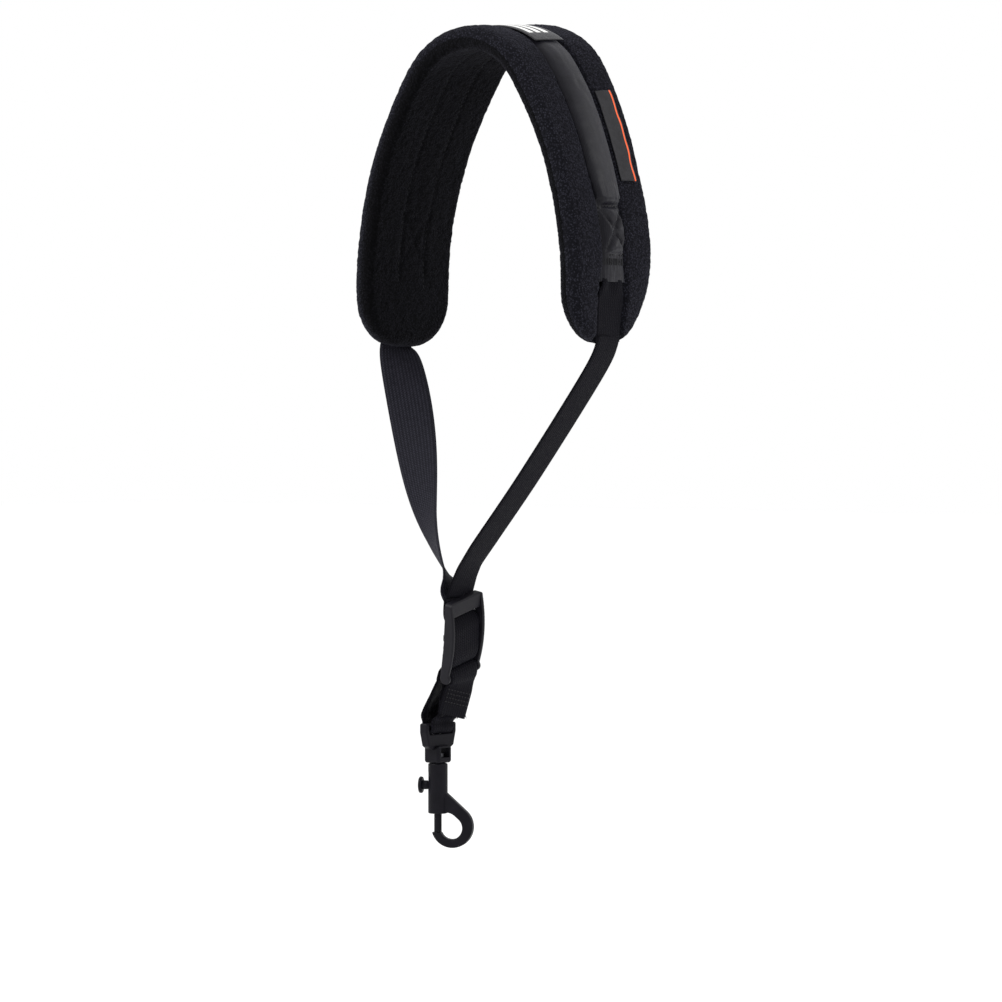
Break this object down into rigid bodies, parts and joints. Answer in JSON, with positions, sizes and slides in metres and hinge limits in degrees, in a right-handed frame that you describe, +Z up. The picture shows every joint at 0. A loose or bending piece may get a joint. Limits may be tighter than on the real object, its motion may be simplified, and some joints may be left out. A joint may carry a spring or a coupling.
{
  "type": "saxophone neck strap",
  "caption": "Padded neck strap whose arched pad carries webbing down to a sliding lock and a swivel snap hook that takes an instrument's ring.",
  "frame": {"origin": "inner face of the neck pad at its crown, mid-width, where it rests on the neck", "axes": "+Z up, X across the arch from arm to arm, Y across the pad's width"},
  "size_m": [0.1588, 0.0762, 0.4539],
  "materials": {
    "foam": "soft open-cell foam, never seen",
    "plush": "black brushed plush with short loops",
    "webbing": "black woven nylon webbing",
    "satin": "charcoal satin, smooth and slightly shiny",
    "label": "woven satin label",
    "thread": "black sewing thread",
    "plastic": "matt black moulded plastic",
    "rivet_metal": "blackened steel",
    "spring_steel": "spring wire"
  },
  "bodies": {
    "pad": {"pad_foam": "foam", "pad_inner_cover": "plush", "pad_outer_cover": "plush", "channel_stitching": "thread", "neck_webbing": "webbing", "sleeve_foam": "foam", "sleeve_cover": "satin", "top_label": "label", "side_label": "label", "left_box_stitch": "thread", "right_box_stitch": "thread", "left_bartack": "thread", "right_bartack": "thread", "left_strap": "webbing", "right_strap": "webbing"},
    "adjuster": {"ladder_lock": "plastic", "threaded_webbing": "webbing", "loop_tail": "webbing", "tail_stitching": "thread", "back_strand": "webbing", "front_strand": "webbing"},
    "loop": {"loop_bight": "webbing"},
    "eye": {"swivel_eye": "plastic"},
    "hook": {"hook_body": "plastic", "swivel_rivet": "rivet_metal", "gate_spring": "spring_steel"},
    "gate": {"gate_bolt": "plastic", "thumb_knob": "plastic"}
  },
  "joints": [
    {"name": "adjuster_slide", "type": "slide", "parent": "pad", "child": "adjuster", "axis": [0, 0, 1], "range_m": [0, 0.07], "deforming": ["left_strap", "right_strap"]},
    {"name": "loop_slide", "type": "slide", "parent": "adjuster", "child": "loop", "axis": [0, 0, 1], "range_m": [-0.035, 0], "deforming": ["back_strand", "front_strand"]},
    {"name": "hook_swing", "type": "hinge", "parent": "loop", "child": "eye", "pos_m": [-0.03, -0.02, -0.373], "axis": [0, 1, 0], "range_deg": [-45, 45]},
    {"name": "hook_swivel", "type": "hinge", "parent": "eye", "child": "hook", "pos_m": [-0.03, -0.02, -0.391], "axis": [0, 0, 1], "continuous": true},
    {"name": "gate_slide", "type": "slide", "parent": "hook", "child": "gate", "axis": [0, 0, 1], "range_m": [0, 0.006], "stiffness_N_per_m": 120, "springref_m": -0.02, "deforming": ["gate_spring"]}
  ],
  "couplings": [
    {"joint": "loop_slide", "follows": "adjuster_slide", "ratio": -0.5}
  ]
}
